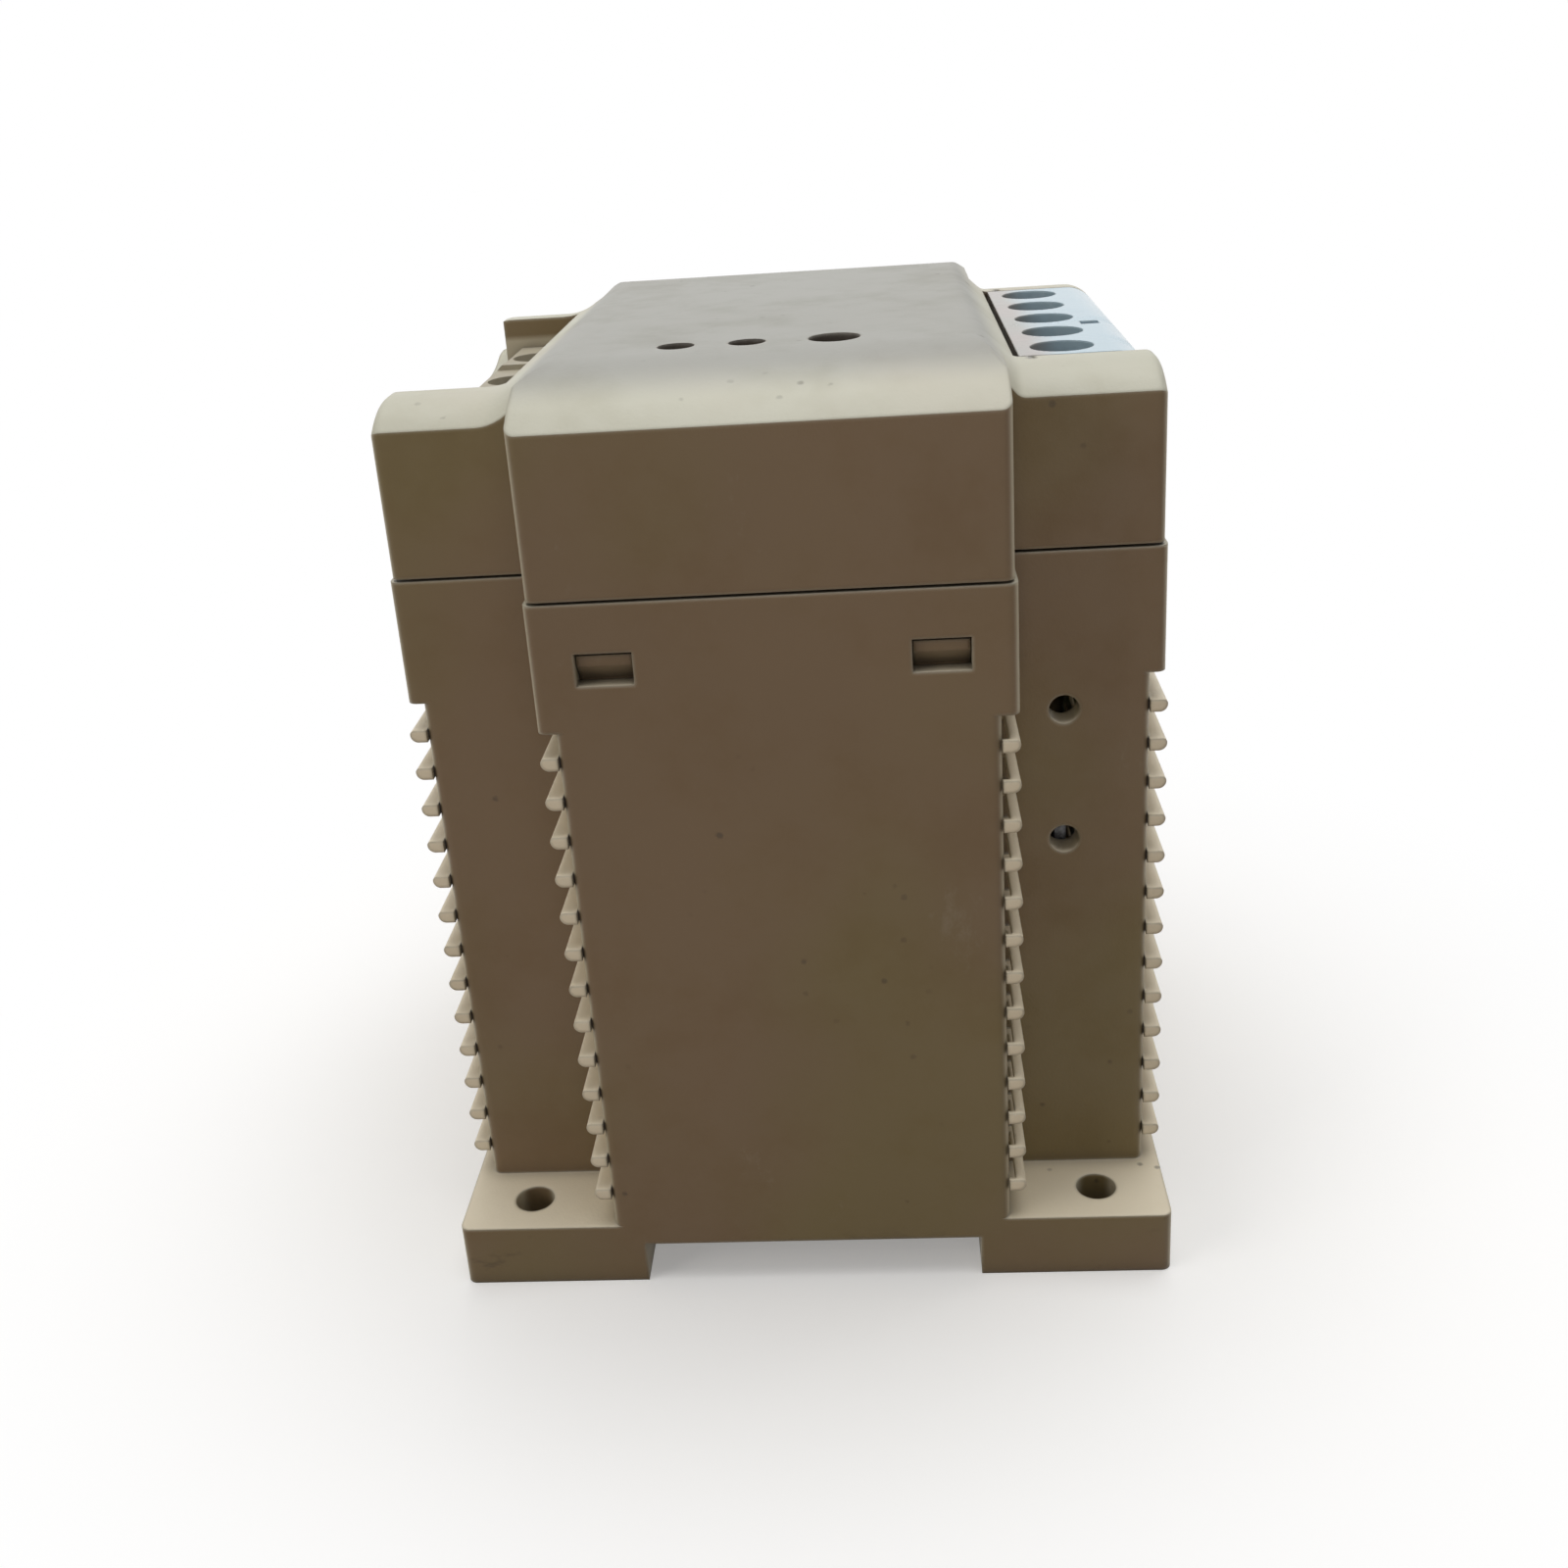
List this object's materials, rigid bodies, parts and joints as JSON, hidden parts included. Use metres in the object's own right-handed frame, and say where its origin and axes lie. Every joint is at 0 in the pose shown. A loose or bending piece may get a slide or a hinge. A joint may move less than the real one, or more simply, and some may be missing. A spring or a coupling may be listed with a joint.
{
  "type": "DIN rail power supply",
  "caption": "Plug-on power supply in a tall louvred plastic case with a raised front, screw terminals on both sides, a hinged terminal cover and a sprung rail slider.",
  "frame": {"origin": "centre of the case at its back plane", "axes": "+X across the rail towards the output terminals, +Y along the rail, +Z out of the front face"},
  "size_m": [0.075, 0.08, 0.096],
  "materials": {
    "case": "satin",
    "cover": "satin",
    "lid": "gloss",
    "board": "satin",
    "dark_plastic": "satin",
    "terminal_grey": "satin",
    "steel": "satin",
    "lamp_green": "gloss",
    "lamp_red": "gloss",
    "trimmer_blue": "gloss",
    "rotor": "satin",
    "fuse_body": "gloss",
    "part_blue": "gloss",
    "part_green": "matte",
    "ferrite": "matte",
    "yellow_box": "gloss",
    "winding_tape": "gloss",
    "can_sleeve": "gloss",
    "aluminium": "satin",
    "black_epoxy": "matte"
  },
  "bodies": {
    "case": {"rear_case": "case", "front_cover": "cover", "slider_spring": "steel", "main_board": "board", "front_board": "board", "indicator_board": "board", "link_board": "board", "board_header": "dark_plastic", "board_screws": "steel", "input_terminals": "terminal_grey", "input_screws": "steel", "input_cages": "steel", "output_terminals": "dark_plastic", "output_screws": "steel", "output_cages": "steel", "running_lamp": "lamp_green", "fault_lamp": "lamp_red", "trimmer_body": "trimmer_blue", "fuse": "fuse_body", "varistor": "part_blue", "inrush_limiter": "part_green", "filter_choke": "ferrite", "x_capacitor": "yellow_box", "y_capacitors": "part_blue", "bridge_rectifier": "black_epoxy", "bulk_capacitors": "can_sleeve", "transformer_core": "ferrite", "transformer_winding": "winding_tape", "primary_heatsink": "aluminium", "switching_transistor": "black_epoxy", "secondary_heatsink": "aluminium", "output_rectifier": "black_epoxy", "output_choke": "ferrite", "output_capacitors": "can_sleeve", "control_chip": "black_epoxy", "optocoupler": "black_epoxy"},
    "output_cover": {"output_cover": "lid"},
    "rail_slider": {"rail_slider": "case"},
    "trimmer_rotor": {"trimmer_rotor": "rotor"}
  },
  "joints": [
    {"name": "cover_hinge", "type": "hinge", "parent": "case", "child": "output_cover", "pos_m": [0.0253, 0, 0.0922], "axis": [0, -1, 0], "range_deg": [0, 105]},
    {"name": "slider_pull", "type": "slide", "parent": "case", "child": "rail_slider", "axis": [-1, 0, 0], "range_m": [0, 0.004], "stiffness_N_per_m": 1500, "springref_m": -0.002, "deforming": ["slider_spring"]},
    {"name": "trimmer_turn", "type": "hinge", "parent": "case", "child": "trimmer_rotor", "pos_m": [0.0068, -0.0232, 0.0926], "axis": [0, 0, 1], "range_deg": [-135, 135]}
  ]
}
